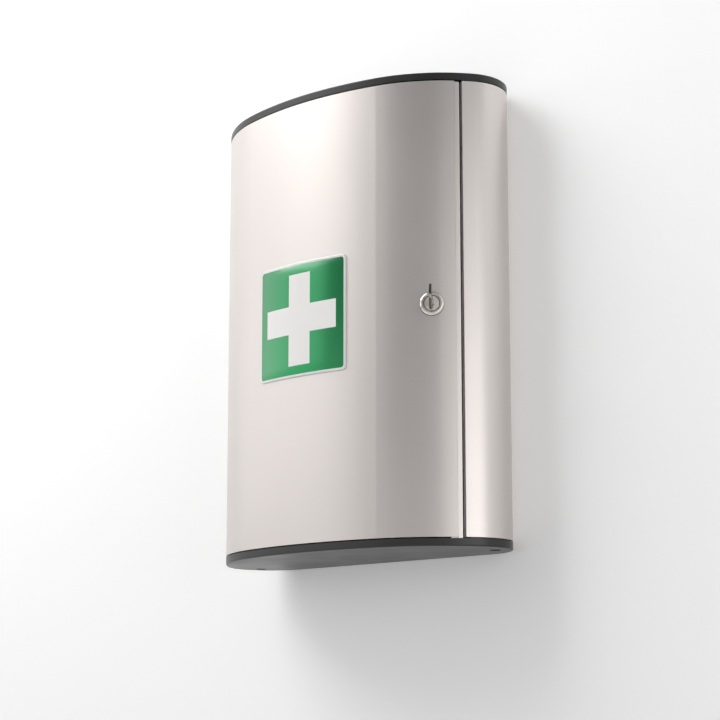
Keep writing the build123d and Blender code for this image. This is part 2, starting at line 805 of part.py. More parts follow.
# Rail screws: countersunk, flush with the ends of the door
with BuildPart() as rail_screws:
    for level in (-end_level, end_level):
        for centre in door_port_centres:
            seat = facing_middle(centre, level)
            with BuildSketch(seat):
                Circle(rail_screw_radius)
            extrude(amount=rail_screw_length)
            with BuildSketch(seat):
                Circle(rail_screw_head_radius - thread_clearance)
            extrude(amount=rail_screw_head_height - thread_clearance, taper=45)

# Sign plate: thin, follows the front of the door, with round corners and a domed face
with BuildPart() as sign_plate:
    with BuildSketch(Plane.XY.offset(-sign_side / 2)):
        with BuildLine():
            wall_strip(-sign_thickness, 0, sign_start_angle, sign_end_angle)
        make_face()
    extrude(amount=sign_side)
    fillet(
        sign_plate.edges().filter_by(GeomType.LINE).filter_by(Axis.Z, reverse=True),
        sign_corner_radius,
    )
    fillet(sign_plate.faces().sort_by(SortBy.AREA)[-1].edges(), sign_dome_radius)

# Lock gasket: ring under the rosette, its back moulded to the curve of the door
with BuildPart() as lock_gasket:
    with BuildSketch(lock_plane.offset(gasket_height)):
        Circle(rosette_radius + gasket_overhang)
        Circle(barrel_radius + barrel_hole_clearance, mode=Mode.SUBTRACT)
    extrude(amount=-gasket_height - door_wall)
    with BuildSketch(Plane.XY.offset(-2 * rosette_radius)):
        with BuildLine():
            wall_strip(0, rail_depth, 0, door_half_angle)
        make_face()
    extrude(amount=4 * rosette_radius, mode=Mode.SUBTRACT)

# Lock barrel: bevelled rosette with a dished face, and a body with two flats
with BuildPart() as lock_barrel:
    with BuildSketch(lock_plane.offset(gasket_height)):
        Circle(rosette_radius)
    extrude(amount=rosette_height)
    chamfer(
        lock_barrel.faces().sort_by(Axis(lock_plane.origin, lock_plane.z_dir))[-1].edges(),
        rosette_bevel,
    )
    with BuildSketch(lock_plane.offset(rosette_face)):
        Circle(rosette_radius - rosette_lip)
    extrude(amount=-rosette_dish, taper=30, mode=Mode.SUBTRACT)
    with BuildSketch(lock_plane.offset(gasket_height)):
        Circle(barrel_radius)
        Rectangle(2 * barrel_flat, 3 * barrel_radius, mode=Mode.INTERSECT)
    extrude(amount=-barrel_length - gasket_height)
    with BuildSketch(lock_plane.offset(rosette_face)):
        Circle(barrel_bore_radius)
    extrude(amount=-barrel_length - rosette_face, mode=Mode.SUBTRACT)

# Lock nut: hexagon behind the door
with BuildPart() as lock_nut:
    with BuildSketch(lock_plane.offset(-door_wall - nut_stand_off)):
        RegularPolygon(nut_across_flats / 2, 6, major_radius=False)
        Circle(barrel_radius + thread_clearance, mode=Mode.SUBTRACT)
    extrude(amount=-nut_height)
    chamfer(lock_nut.edges().filter_by(GeomType.LINE).group_by(SortBy.LENGTH)[-1], nut_chamfer)

# Lock plug: warded keyway, wafer slots, a square tang and a threaded hole for the cam screw
with BuildPart() as lock_plug:
    with BuildSketch(lock_plane.offset(plug_face)):
        Circle(plug_radius)
    extrude(amount=plug_end - plug_face)
    chamfer(
        lock_plug.faces().sort_by(Axis(lock_plane.origin, lock_plane.z_dir))[-1].edges(),
        plug_face_chamfer,
    )
    with BuildSketch(lock_plane.offset(plug_end)):
        Rectangle(tang_side, tang_side)
    extrude(amount=-tang_length)
    with BuildSketch(lock_plane.offset(plug_face)):
        Rectangle(keyway_width, keyway_height)
        for side in (-1, 1):
            with Locations((side * keyway_width / 2, side * ward_offset)):
                Rectangle(keyway_width - 2 * ward_tip, ward_height, mode=Mode.SUBTRACT)
            with Locations((side * keyway_width / 2, -side * ward_offset)):
                Rectangle(2 * keyway_groove_depth, ward_height)
    extrude(amount=-keyway_depth, mode=Mode.SUBTRACT)
    for reach in wafer_reaches:
        with BuildSketch(lock_plane.offset(reach)):
            Rectangle(wafer_width + wafer_fit, 3 * plug_radius)
        extrude(amount=(wafer_wall + wafer_fit) / 2, both=True, mode=Mode.SUBTRACT)
    with BuildSketch(lock_plane.offset(plug_end - tang_length)):
        Circle(cam_screw_radius + thread_clearance)
    extrude(amount=cam_screw_depth, mode=Mode.SUBTRACT)

# Lock wafers: plates in the plug's slots, held in line with it by the key in their windows
with BuildPart() as lock_wafers:
    for reach in wafer_reaches:
        with BuildSketch(lock_plane.offset(reach)):
            Circle(plug_radius - wafer_bore_clearance)
            Rectangle(wafer_width, 3 * plug_radius, mode=Mode.INTERSECT)
            Rectangle(
                key_wall + 2 * wafer_bore_clearance,
                key_blade_height + 2 * wafer_bore_clearance,
                mode=Mode.SUBTRACT,
            )
        extrude(amount=wafer_wall / 2, both=True)

# Cam: plate on the plug's tang, pointing up while the door is free
with BuildPart() as lock_cam:
    with BuildSketch(lock_plane.offset(plug_end)):
        Circle(cam_hub_radius)
        with Locations((0, cam_reach - cam_width / 2)):
            Circle(cam_width / 2)
        Rectangle(cam_width, cam_reach - cam_width / 2, align=(Align.CENTER, Align.MIN))
        Rectangle(tang_side + 2 * cam_fit, tang_side + 2 * cam_fit, mode=Mode.SUBTRACT)
    extrude(amount=-cam_wall)

# Cam washer and cam screw
with BuildPart() as cam_washer:
    with BuildSketch(lock_plane.offset(cam_face)):
        Circle(cam_washer_radius)
        Circle(cam_screw_radius + thread_clearance, mode=Mode.SUBTRACT)
    extrude(amount=-cam_washer_height)

with BuildPart() as cam_screw:
    with BuildSketch(lock_plane.offset(washer_face)):
        Circle(cam_screw_radius)
    extrude(amount=cam_washer_height + cam_wall + cam_screw_depth - tang_length)
    with BuildSketch(lock_plane.offset(washer_face)):
        Circle(cam_screw_head_radius)
    extrude(amount=-cam_screw_head_height, taper=8)
    with BuildSketch(lock_plane.offset(washer_face - cam_screw_head_height)):
        Rectangle(cam_screw_slot, 2 * cam_screw_head_radius)
    extrude(amount=cam_screw_head_height / 2, mode=Mode.SUBTRACT)

# Key: notched and grooved blade in the keyway, a shoulder at the plug and a round bow
with BuildPart() as key:
    with BuildSketch(key_plane):
        with Locations((plug_face - key_blade_depth, 0)):
            Rectangle(
                key_bow_reach - plug_face + key_blade_depth,
                key_blade_height,
                align=(Align.MIN, Align.CENTER),
            )
        with Locations((plug_face + key_shoulder_clearance, 0)):
            Rectangle(
                key_bow_reach - plug_face - key_shoulder_clearance,
                key_shoulder_height,
                align=(Align.MIN, Align.CENTER),
            )
        with Locations((key_bow_reach, 0)):
            Circle(key_bow_radius)
        for reach, notch in zip(wafer_reaches, key_notch_depths):
            with Locations((reach, key_blade_height / 2)):
                Rectangle(wafer_wall, 2 * notch, mode=Mode.SUBTRACT)
        with Locations((key_bow_reach + key_bow_radius / 2, 0)):
            Circle(key_hole_radius, mode=Mode.SUBTRACT)
    extrude(amount=key_wall / 2, both=True)
    chamfer(
        key.edges().filter_by(Axis(key_plane.origin, key_plane.z_dir)).group_by(
            Axis(lock_plane.origin, lock_plane.z_dir)
        )[0],
        key_tip_chamfer,
    )
    for side in (-1, 1):
        with BuildSketch(key_plane.offset(-side * key_wall / 2)):
            with Locations((plug_face - key_blade_depth, side * ward_offset)):
                Rectangle(
                    key_blade_depth + key_groove_run_out,
                    ward_height + 2 * ward_clearance,
                    align=(Align.MIN, Align.CENTER),
                )
        extrude(amount=side * key_groove_depth, mode=Mode.SUBTRACT)

pieces = {
    "back_panel": back_panel,
    "left_side_profile": left_side_profile,
    "right_side_profile": right_side_profile,
    "top_cap": top_cap,
    "bottom_cap": bottom_cap,
    "cap_screws": cap_screws,
    "back_rivets": back_rivets,
    "strike_strip": strike_strip,
    "strike_rivets": strike_rivets,
    "door_seal": door_seal,
    "upper_shelf": upper_shelf,
    "lower_shelf": lower_shelf,
    "shelf_screws": shelf_screws,
    "hinge_pins": hinge_pins,
    "hinge_bushes": hinge_bushes,
    "door_panel": door_panel,
    "door_edge_strip": door_edge_strip,
    "door_top_rail": door_top_rail,
    "door_bottom_rail": door_bottom_rail,
    "rail_screws": rail_screws,
    "sign_plate": sign_plate,
    "lock_gasket": lock_gasket,
    "lock_barrel": lock_barrel,
    "lock_nut": lock_nut,
    "lock_plug": lock_plug,
    "lock_wafers": lock_wafers,
    "lock_cam": lock_cam,
    "cam_washer": cam_washer,
    "cam_screw": cam_screw,
    "key": key,
}
for name, piece in pieces.items():
    piece.part.label = name
    export_step(piece.part, f"parts/{name}.step")

print("front arc to", round(front_angle, 2), "shoulder arc to", round(shoulder_angle, 2), "degrees")
print("hinge axis", round(hinge_axis.X, 4), round(hinge_axis.Y, 4))
print("lock face", round(lock_face.X, 4), round(lock_face.Y, 4), "at", round(lock_angle, 4))
print("port centre", round(port_centre.X, 3), round(port_centre.Y, 3), "seal height", round(seal_height, 2))
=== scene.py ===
"""Wall-hung first aid cabinet: its finishes, its fine pieces, the wall, the light and the camera."""
from __future__ import annotations

import logging
import math
from dataclasses import dataclass
from enum import Enum
from functools import cache
from typing import Iterable, Sequence

import bmesh
import bpy
from mathutils import Euler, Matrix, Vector

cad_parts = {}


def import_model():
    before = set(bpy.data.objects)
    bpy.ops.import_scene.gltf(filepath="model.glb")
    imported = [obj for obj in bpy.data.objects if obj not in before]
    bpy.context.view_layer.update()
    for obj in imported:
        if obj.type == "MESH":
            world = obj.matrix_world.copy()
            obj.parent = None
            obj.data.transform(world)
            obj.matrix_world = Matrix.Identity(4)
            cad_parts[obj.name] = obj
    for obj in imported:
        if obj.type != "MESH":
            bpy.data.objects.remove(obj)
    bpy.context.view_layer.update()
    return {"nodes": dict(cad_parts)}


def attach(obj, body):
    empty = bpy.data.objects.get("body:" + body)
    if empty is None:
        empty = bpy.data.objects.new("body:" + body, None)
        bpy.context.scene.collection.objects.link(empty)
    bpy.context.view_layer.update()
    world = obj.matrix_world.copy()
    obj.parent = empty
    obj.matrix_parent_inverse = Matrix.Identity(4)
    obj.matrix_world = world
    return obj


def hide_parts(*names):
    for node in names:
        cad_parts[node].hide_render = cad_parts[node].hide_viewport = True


LOG = logging.getLogger("first_aid_cabinet")
MM = 0.001
WELD = 1e-6
SIGN_OFFSET = -3.5 * MM
SPAN = (0.3, 0.7)
Pair = tuple[float, float]
Triple = tuple[float, float, float]
Colour = Triple
Material = bpy.types.Material
Object = bpy.types.Object
Shape = bmesh.types.BMesh
Socket = bpy.types.NodeSocket
Vertex = bmesh.types.BMVert
Value = Socket | Colour | float | int
Scale = float | Triple


# Node and mesh helpers


class NodeTree:
    """A node tree of any kind, with short calls that add a node and fill its inputs."""

    def __init__(self, tree: bpy.types.NodeTree) -> None:
        """Takes the tree.

        Args:
            tree: the node tree to fill.
        """
        self.tree = tree

    def feed(self, target: Socket, value: Value) -> None:
        """Links a socket to an input, or sets the input's own value.

        Args:
            target: the node's input.
            value: socket, number or vector, or a linear colour without its alpha.
        """
        if isinstance(value, Socket):
            self.tree.links.new(value, target)
        elif target.type == "RGBA":
            target.default_value = (*value, 1.0)
        else:
            target.default_value = value

    def node(self, kind: str, inputs: dict[str | int, Value], **settings: str) -> bpy.types.Node:
        """Adds a node.

        Args:
            kind: the node's type.
            inputs: what each input gets, by its name or number.
            settings: the node's own settings, such as its operation.

        Returns:
            The node.
        """
        made = self.tree.nodes.new(kind)
        for name, setting in settings.items():
            setattr(made, name, setting)
        for name, value in inputs.items():
            self.feed(made.inputs[name], value)
        return made

    def result(self, kind: str, inputs: dict[str | int, Value], **settings: str) -> Socket:
        """First output of a node that is added in the same way."""
        return self.node(kind, inputs, **settings).outputs[0]

    def calculate(self, kind: str, first: Value, second: Value) -> Socket:
        """Result of a math operation on two sockets or numbers."""
        return self.result("ShaderNodeMath", {0: first, 1: second}, operation=kind)

    def times(self, first: Value, second: Value) -> Socket:
        """Product of two sockets or numbers."""
        return self.calculate("MULTIPLY", first, second)

    def split(self, vector: Socket) -> bpy.types.NodeOutputs:
        """Outputs X, Y and Z of a vector."""
        return self.node("ShaderNodeSeparateXYZ", {0: vector}).outputs


class Shader(NodeTree):
    """A material's node tree, with short calls for what the finishes share."""

    def __init__(self, name: str) -> None:
        """Starts a material with a principled shader.

        Args:
            name: the material's name.
        """
        self.material = bpy.data.materials.new(name)
        self.material.use_nodes = True
        super().__init__(self.material.node_tree)
        self.tree.nodes.clear()
        self.surface = self.node("ShaderNodeBsdfPrincipled", {})
        self.node("ShaderNodeOutputMaterial", {"Surface": self.surface.outputs["BSDF"]})

    def set(self, **values: Value) -> None:
        """Fills inputs of the principled shader.

        Args:
            values: what each input gets, its name written with _ for a space.
        """
        for name, value in values.items():
            self.feed(self.surface.inputs[name.replace("_", " ")], value)

    def place(self) -> Socket:
        """Object coordinates."""
        return self.node("ShaderNodeTexCoord", {}).outputs["Object"]

    def noise(self, scale: Scale, detail: float = 3.0) -> Socket:
        """Noise on object coordinates.

        Args:
            scale: cycles in each metre, for all axes or for X, Y and Z.
            detail: octaves of the noise.

        Returns:
            The noise's factor socket, around 0.5.
        """
        stretch = (scale,) * 3 if isinstance(scale, float) else scale
        vector = self.result("ShaderNodeMapping", {"Vector": self.place(), "Scale": stretch})
        return self.result("ShaderNodeTexNoise", {"Vector": vector, "Scale": 1.0, "Detail": detail})

    def spread(self, factor: Socket, low: float, high: float, span: Pair = SPAN) -> Socket:
        """Maps a factor to a range.

        Args:
            factor: the socket to map.
            low: value at the start of the span.
            high: value at the end of the span.
            span: factors that give low and high.

        Returns:
            The mapped value's socket.
        """
        return self.result("ShaderNodeMapRange", {"Value": factor, "From Min": span[0], "From Max": span[1],
                                                  "To Min": low, "To Max": high})

    def between(self, factor: Socket, first: Socket | Colour, second: Colour) -> Socket:
        """Colour between two colours.

        Args:
            factor: 0 for the first colour, 1 for the second.
            first: linear colour, or the socket of one.
            second: linear colour.

        Returns:
            The mixed colour's socket.
        """
        mix = self.node("ShaderNodeMix", {}, data_type="RGBA")
        ports = {socket.identifier: socket for socket in (*mix.inputs, *mix.outputs)}
        self.feed(ports["Factor_Float"], factor)
        self.feed(ports["A_Color"], first)
        self.feed(ports["B_Color"], second)
        return ports["Result_Color"]

    def cloud(self, cloud: Socket, darker: Colour, colour: Colour, gloss: Pair,
              span: Pair = SPAN) -> None:
        """Gives the shader a colour and a roughness that follow a noise.

        Args:
            cloud: the noise's socket.
            darker: linear colour at the start of the span.
            colour: linear colour at the end of the span.
            gloss: roughness at the start and at the end of the span.
            span: factors of the noise that give the two ends.
        """
        self.set(Base_Color=self.between(self.spread(cloud, 0.0, 1.0, span), darker, colour),
                 Roughness=self.spread(cloud, *gloss, span))

    def height(self) -> Socket:
        """Height on the object, in metres."""
        return self.split(self.place())["Z"]

    def bulge(self, middle: float, across: float, upright: float) -> Socket:
        """Relief that falls with the square of the distance from an upright line and from zero height.

        Args:
            middle: place of the line along X, in metres.
            across: fall along X, in 1/metres.
            upright: fall along Z, in 1/metres.

        Returns:
            The relief's socket, in metres.
        """
        axes = self.split(self.place())
        offset = self.calculate("SUBTRACT", axes["X"], middle)
        return self.calculate("ADD", self.times(self.times(offset, offset), -across),
                              self.times(self.times(axes["Z"], axes["Z"]), -upright))

    def edge_fall(self, reach: float, drop: float, steepness: float = 5.0) -> Socket:
        """Relief that is level in the middle and falls steeply at an upper and a lower edge.

        Args:
            reach: height of the edges above and below zero, in metres.
            drop: fall at the edges, in metres.
            steepness: power of the squared share of the reach.

        Returns:
            The relief's socket, in metres.
        """
        share = self.calculate("DIVIDE", self.height(), reach)
        return self.times(self.calculate("POWER", self.times(share, share), steepness), -drop)

    def relief(self, height: Socket, strength: float, distance: float, normal: str = "Normal") -> None:
        """Adds a bump to the principled shader.

        Args:
            height: the relief's socket.
            strength: share of the bump, 0 to 1.
            distance: height in metres for a factor of 1.
            normal: the shader's normal input that gets the bump, its name written with _ for a space.
        """
        bump = self.result("ShaderNodeBump", {"Strength": strength, "Distance": distance, "Height": height})
        self.set(**{normal: bump})


def dimmed(colour: Colour, share: float) -> Colour:
    """Colour with each channel times a share."""
    return tuple(channel * share for channel in colour)


def placed(name: str, data: bpy.types.ID) -> Object:
    """Puts new data into the scene.

    Args:
        name: the object's name.
        data: its mesh, light or camera.

    Returns:
        The object.
    """
    made = bpy.data.objects.new(name, data)
    bpy.context.scene.collection.objects.link(made)
    return made


def object_from(name: str, shape: Shape, sharp: float = 30.0) -> Object:
    """Turns a bmesh into an object with its faces outward and its smooth shading split at sharp edges.

    Args:
        name: the object's name.
        shape: the filled bmesh, in metres, in the row frame, which is freed.
        sharp: edge angle in degrees past which the shading is split.

    Returns:
        The object, linked to the scene.
    """
    bmesh.ops.remove_doubles(shape, verts=shape.verts, dist=WELD)
    bmesh.ops.recalc_face_normals(shape, faces=shape.faces)
    mesh = bpy.data.meshes.new(name)
    shape.to_mesh(mesh)
    shape.free()
    mesh.shade_smooth()
    mesh.set_sharp_from_angle(angle=math.radians(sharp))
    return placed(name, mesh)


def bridge(shape: Shape, low: Sequence[Vertex], high: Sequence[Vertex]) -> list[bmesh.types.BMFace]:
    """Closes the gap between two rings of equal point counts.

    Args:
        shape: the bmesh that holds the rings.
        low: vertices of the first ring.
        high: vertices of the second ring.

    Returns:
        The new faces, one for each stretch of the rings.
    """
    return [shape.faces.new((low[number - 1], low[number], high[number], high[number - 1]))
            for number in (*range(1, len(low)), 0)]


def loft(shape: Shape, rings: Sequence[Sequence[Vertex]]) -> None:
    """Makes a closed body through rings of equal point counts.

    Args:
        shape: the bmesh that holds the rings.
        rings: vertices of each ring, from the back to the front.
    """
    for low, high in zip(rings, rings[1:]):
        bridge(shape, low, high)
    shape.faces.new(list(reversed(rings[0])))
    shape.faces.new(rings[-1])


# Finishes


@dataclass(frozen=True)
class Surface:
    """Finish whose colour and roughness follow a cloud of noise, with a fine relief on it.

    Its scales are in cycles per metre, and sheen holds the roughness's changes at both ends of the cloud. The
    shade of the darker places is the colour times dimming where none is given.
    """

    name: str
    colour: Colour
    roughness: float = 0.5
    sheen: Pair = (-0.04, 0.05)
    shade: Colour | None = None
    dimming: float = 0.88
    clouds: Scale = 22.0
    grain: Scale = 900.0
    grain_detail: float = 2.0
    grain_strength: float = 0.35
    grain_height: float = 0.04 * MM
    metallic: float = 0.0

    def material(self) -> Material:
        """Builds the material.

        Returns:
            The material.
        """
        shader = Shader(self.name)
        low, high = self.sheen
        shader.set(Metallic=self.metallic)
        shader.cloud(shader.noise(self.clouds), self.shade or dimmed(self.colour, self.dimming), self.colour,
                     (self.roughness + low, self.roughness + high))
        shader.relief(shader.noise(self.grain, self.grain_detail), self.grain_strength, self.grain_height)
        return shader.material


@dataclass(frozen=True)
class MouldedPlastic(Surface):
    """Moulded plastic with a fine spark-eroded texture."""


@dataclass(frozen=True)
class SatinAnodised(Surface):
    """Satin anodised extrusion with faint die lines along its length."""

    roughness: float = 0.40
    sheen: Pair = (-0.03, 0.03)
    clouds: Scale = (9.0, 9.0, 5.0)
    grain: Scale = (2600.0, 2600.0, 12.0)
    grain_strength: float = 0.10
    grain_height: float = 0.03 * MM
    metallic: float = 1.0


@dataclass(frozen=True)
class Metal(Surface):
    """Plated, drawn or milled small metal part."""

    sheen: Pair = (-0.08, 0.08)
    dimming: float = 0.85
    clouds: Scale = 300.0
    grain: Scale = 300.0
    grain_detail: float = 3.0
    grain_strength: float = 0.08
    grain_height: float = 0.02 * MM
    metallic: float = 1.0


@dataclass(frozen=True)
class PowderCoat(Surface):
    """Powder coated sheet with a fine orange-peel surface."""

    roughness: float = 0.44
    sheen: Pair = (-0.04, 0.04)
    dimming: float = 0.94
    clouds: Scale = 7.0
    grain: Scale = 420.0
    grain_detail: float = 1.0
    grain_strength: float = 0.3
    grain_height: float = 0.08 * MM


@dataclass(frozen=True)
class KeyWithPaintedHighlight:
    """Dark steel key with a painted highlight, a bright band of colour beside the lock, and brown below it.
    """

    name: str = "key_steel"
    dark: Colour = (0.105, 0.100, 0.095)
    painted_highlight: Colour = (0.52, 0.49, 0.46)
    brown: Colour = (0.155, 0.125, 0.100)
    painted_highlight_band: Pair = (-0.6 * MM, 0.2 * MM)
    brown_band: Pair = (-3.7 * MM, -2.7 * MM)
    gloss: Pair = (0.29, 0.39)
    clouds: Triple = (300.0, 300.0, 900.0)
    scratch_strength: float = 0.08
    scratch_height: float = 0.02 * MM

    def material(self) -> Material:
        """Builds the material, whose colour changes over two bands of height.

        Returns:
            The material.
        """
        shader = Shader(self.name)
        cloud, height = shader.noise(self.clouds), shader.height()
        # The bright band is a painted highlight, not wear; below the brown band's heights the key is brown.
        with_painted_highlight = shader.between(shader.spread(height, 1.0, 0.0, self.painted_highlight_band), self.dark, self.painted_highlight)
        with_brown = shader.between(shader.spread(height, 1.0, 0.0, self.brown_band), with_painted_highlight, self.brown)
        shader.set(Metallic=1.0, Base_Color=with_brown, Roughness=shader.spread(cloud, *self.gloss))
        shader.relief(cloud, self.scratch_strength, self.scratch_height)
        return shader.material


@dataclass(frozen=True)
class DomedPrint:
    """Printed colour under a clear, poured face; silver lets the metal behind the print shine through."""

    name: str
    colour: Colour
    gloss: float = 0.16
    gloss_change: float = 0.03
    silver: float = 0.0
    clear_gloss: float = 0.08
    clear_weight: float = 0.8
    shine: float = 0.4
    middle: float = 0.0
    swell: Pair = (0.0, 0.0)
    reach: float = 47.7 * MM
    drop: float = 1.5 * MM
    dimming: float = 0.98
    clouds: float = 35.0
    detail: float = 1.0
    span: Pair = (0.1, 0.9)

    def material(self) -> Material:
        """Builds the material, with the poured face swelling from its edges to its middle.

        Returns:
            The material.
        """
        shader = Shader(self.name)
        shader.cloud(shader.noise(self.clouds, self.detail), dimmed(self.colour, self.dimming), self.colour,
                     (self.gloss, self.gloss + self.gloss_change), self.span)
        shader.set(Specular_IOR_Level=self.shine, Metallic=self.silver, Coat_Weight=self.clear_weight,
                   Coat_Roughness=self.clear_gloss)
        if any(self.swell):
            swell = shader.bulge(self.middle, *self.swell)
            shader.relief(swell, 1.0, 1.0)
            shader.relief(shader.calculate("ADD", swell, shader.edge_fall(self.reach, self.drop)), 1.0, 1.0,
                          "Coat_Normal")
        return shader.material


class Finish(Enum):
    """Finishes of all pieces."""

    ANODISED = SatinAnodised("satin_anodised", (0.705, 0.660, 0.635), shade=(0.685, 0.640, 0.615))
    CAPS = MouldedPlastic("cap_plastic", (0.026, 0.026, 0.025), roughness=0.36)
    RAILS = MouldedPlastic("rail_plastic", (0.06, 0.06, 0.06))
    SHELVES = MouldedPlastic("shelf_plastic", (0.60, 0.61, 0.60), roughness=0.42)
    BUSHES = MouldedPlastic("bush_plastic", (0.72, 0.72, 0.70), roughness=0.35)
    # The seal's pale colour is painted light: it brightens the shaded gap beside the door.
    SEAL_PAINTED_LIGHT = MouldedPlastic("seal_rubber_painted_light", (0.80, 0.74, 0.71), roughness=0.6, grain=500.0)
    GASKET = MouldedPlastic("gasket_rubber", (0.035, 0.035, 0.035), roughness=0.6, grain=500.0)
    BACK = PowderCoat("powder_coat", (0.66, 0.67, 0.67))
    STRIKE = Metal("mill_aluminium", (0.72, 0.72, 0.71), roughness=0.34, clouds=(500.0, 500.0, 10.0),
                   grain=(500.0, 500.0, 10.0))
    ZINC = Metal("zinc_plate", (0.62, 0.62, 0.63), roughness=0.3)
    SCREWS = Metal("zinc_plate_screws", (0.55, 0.55, 0.56), roughness=0.32)
    CAP_SCREWS = Metal("blacked_cap_screws", (0.16, 0.16, 0.16), roughness=0.38)
    RIVETS = Metal("rivet_aluminium", (0.74, 0.74, 0.74), roughness=0.35)
    RIVET_HEADS = Metal("rivet_heads", (0.74, 0.74, 0.74), roughness=0.35)
    PLUG = Metal("plug_nickel", (0.95, 0.86, 0.80), roughness=0.50, sheen=(-0.06, 0.06),
                 clouds=700.0, grain=700.0)
    WAFERS = Metal("wafer_brass", (0.62, 0.49, 0.28), roughness=0.3)
    KEY = KeyWithPaintedHighlight()
    ROSETTE_FACE = Metal("rosette_satin", (0.84, 0.82, 0.80), roughness=0.42, sheen=(-0.03, 0.03))
    ROSETTE_RIM = Metal("rosette_polished", (0.80, 0.78, 0.76), roughness=0.16, sheen=(-0.03, 0.03))
    # Near-black finish of the groove round the plug: painted shade in the recess.
    GROOVE_PAINTED_SHADE = MouldedPlastic("lock_groove_painted_shade", (0.035, 0.030, 0.027), roughness=0.45)
    MARK = MouldedPlastic("mark_paint", (0.05, 0.045, 0.04))
    SIGN_BORDER = DomedPrint("sign_clear_border", (0.86, 0.88, 0.85), gloss=0.14)
    SIGN_GREEN = DomedPrint("sign_green", (0.016, 0.300, 0.100), gloss=0.30, silver=0.8, clear_gloss=0.24,
                            middle=SIGN_OFFSET, swell=(2.4, 0.7))
    SIGN_WHITE = DomedPrint("sign_white", (0.97, 0.955, 0.93))


@cache
def material_of(finish: Finish) -> Material:
    """Material of a finish, built on its first use."""
    return finish.value.material()


def dress(piece: Object, finish: Finish) -> None:
    """Gives a piece one finish in all of its slots.

    Args:
        piece: the mesh object.
        finish: its finish.
    """
    for slot in range(len(piece.data.materials)):
        piece.data.materials[slot] = material_of(finish)
    if not piece.data.materials:
        piece.data.materials.append(material_of(finish))


# Plan of the cabinet


@dataclass(frozen=True)
class PlanCurve:
    """The front arc of the cabinet's plan, in metres."""

    depth: float = 118.0 * MM
    front_radius: float = 300.0 * MM

    def front_point(self, x: float, proud: float, z: float) -> Vector:
        """Point in front of the door's front arc.

        Args:
            x: place across the cabinet, in metres.
            proud: distance in front of the door's face, in metres.
            z: height, in metres.

        Returns:
            The point in the row frame.
        """
        angle = math.asin(x / self.front_radius)
        radius = self.front_radius + proud
        y = self.front_radius - self.depth - radius * math.cos(angle)
        return Vector((radius * math.sin(angle), y, z))


def rounded_square(side: float, radius: float, steps: int = 8) -> list[Vector]:
    """Outline of a square with round corners, centred on the origin.

    Args:
        side: width and height.
        radius: corner radius.
        steps: stretches in each corner.

    Returns:
        The points, turning left.
    """
    points = []
    for corner, (sx, sy) in enumerate(((1, -1), (1, 1), (-1, 1), (-1, -1))):
        centre = Vector((sx * (side / 2 - radius), sy * (side / 2 - radius)))
        for step in range(steps + 1):
            angle = math.radians(-90 + 90 * corner + 90 * step / steps)
            points.append(centre + radius * Vector((math.cos(angle), math.sin(angle))))
    return points


def cross_outline(side: float, bar: float) -> list[Vector]:
    """Outline of an upright cross centred on the origin.

    Args:
        side: overall width and height.
        bar: width of each bar.

    Returns:
        The twelve points, turning left.
    """
    a, b = side / 2, bar / 2
    corners = ((b, -a), (b, -b), (a, -b), (a, b), (b, b), (b, a),
               (-b, a), (-b, b), (-a, b), (-a, -b), (-b, -b), (-b, -a))
    return [Vector(corner) for corner in corners]


# The sign


@dataclass
class FirstAidSign:
    """A green field with a white cross under a clear domed face, on the front of the door."""

    plan: PlanCurve = PlanCurve()
    side: float = 100.0 * MM
    offset: float = SIGN_OFFSET
    corner: float = 4.0 * MM
    dome: float = 0.7 * MM
    thickness: float = 1.12 * MM
    field_side: float = 95.4 * MM
    field_corner: float = 2.6 * MM
    field_rise: float = 0.03 * MM
    cross_side: float = 80.0 * MM
    cross_bar: float = 24.5 * MM
    cross_rise: float = 0.05 * MM
    strip: float = 2.0 * MM
    dome_steps: int = 5
    sharp: float = 40.0

    def wrap(self, shape: Shape) -> None:
        """Cuts a flat shape into upright strips and lays it on the curve of the door.

        Args:
            shape: flat shape in metres, X across, Y up, Z away from the door.
        """
        count = int(self.side / self.strip)
        for number in range(1, count):
            place = -self.side / 2 + number * self.strip
            geometry = shape.verts[:] + shape.edges[:] + shape.faces[:]
            bmesh.ops.bisect_plane(shape, geom=geometry, plane_co=(place, 0, 0), plane_no=(1, 0, 0))
        for vertex in shape.verts:
            across, up, proud = vertex.co
            vertex.co = self.plan.front_point(across + self.offset, proud, up)

    def plate(self, name: str, rings: Iterable[tuple[list[Vector], float]]) -> Object:
        """Closed plate through rings of equal point counts.

        Args:
            name: the object's name.
            rings: outlines and their heights above the door, from the back to the front.

        Returns:
            The plate on the door.
        """
        shape = bmesh.new()
        loft(shape, [[shape.verts.new((point.x, point.y, height)) for point in outline]
                     for outline, height in rings])
        self.wrap(shape)
        return object_from(name, shape, self.sharp)

    def build(self) -> list[Object]:
        """Makes the border plate, the field and the cross.

        Returns:
            The three pieces, on the door's body.
        """
        rings = [(rounded_square(self.side, self.corner), 0.0)]
        for step in range(self.dome_steps + 1):
            angle = math.radians(90 * step / self.dome_steps)
            inset = self.dome * (1 - math.cos(angle))
            side = self.side - 2 * inset
            height = self.thickness - self.dome + self.dome * math.sin(angle)
            rings.append((rounded_square(side, self.corner - inset), height))
        border = self.plate("sign_border", rings)
        outline = rounded_square(self.field_side, self.field_corner)
        field = self.plate("sign_field", [(outline, self.thickness - self.dome / 2),
                                          (outline, self.thickness + self.field_rise)])
        outline = cross_outline(self.cross_side, self.cross_bar)
        cross = self.plate("sign_cross", [(outline, self.thickness),
                                          (outline, self.thickness + self.cross_rise)])
        pieces = [border, field, cross]
        for piece, finish in zip(pieces, (Finish.SIGN_BORDER, Finish.SIGN_GREEN, Finish.SIGN_WHITE)):
            dress(piece, finish)
            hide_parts("sign_plate")
            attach(piece, "door")
        return pieces


# The lock


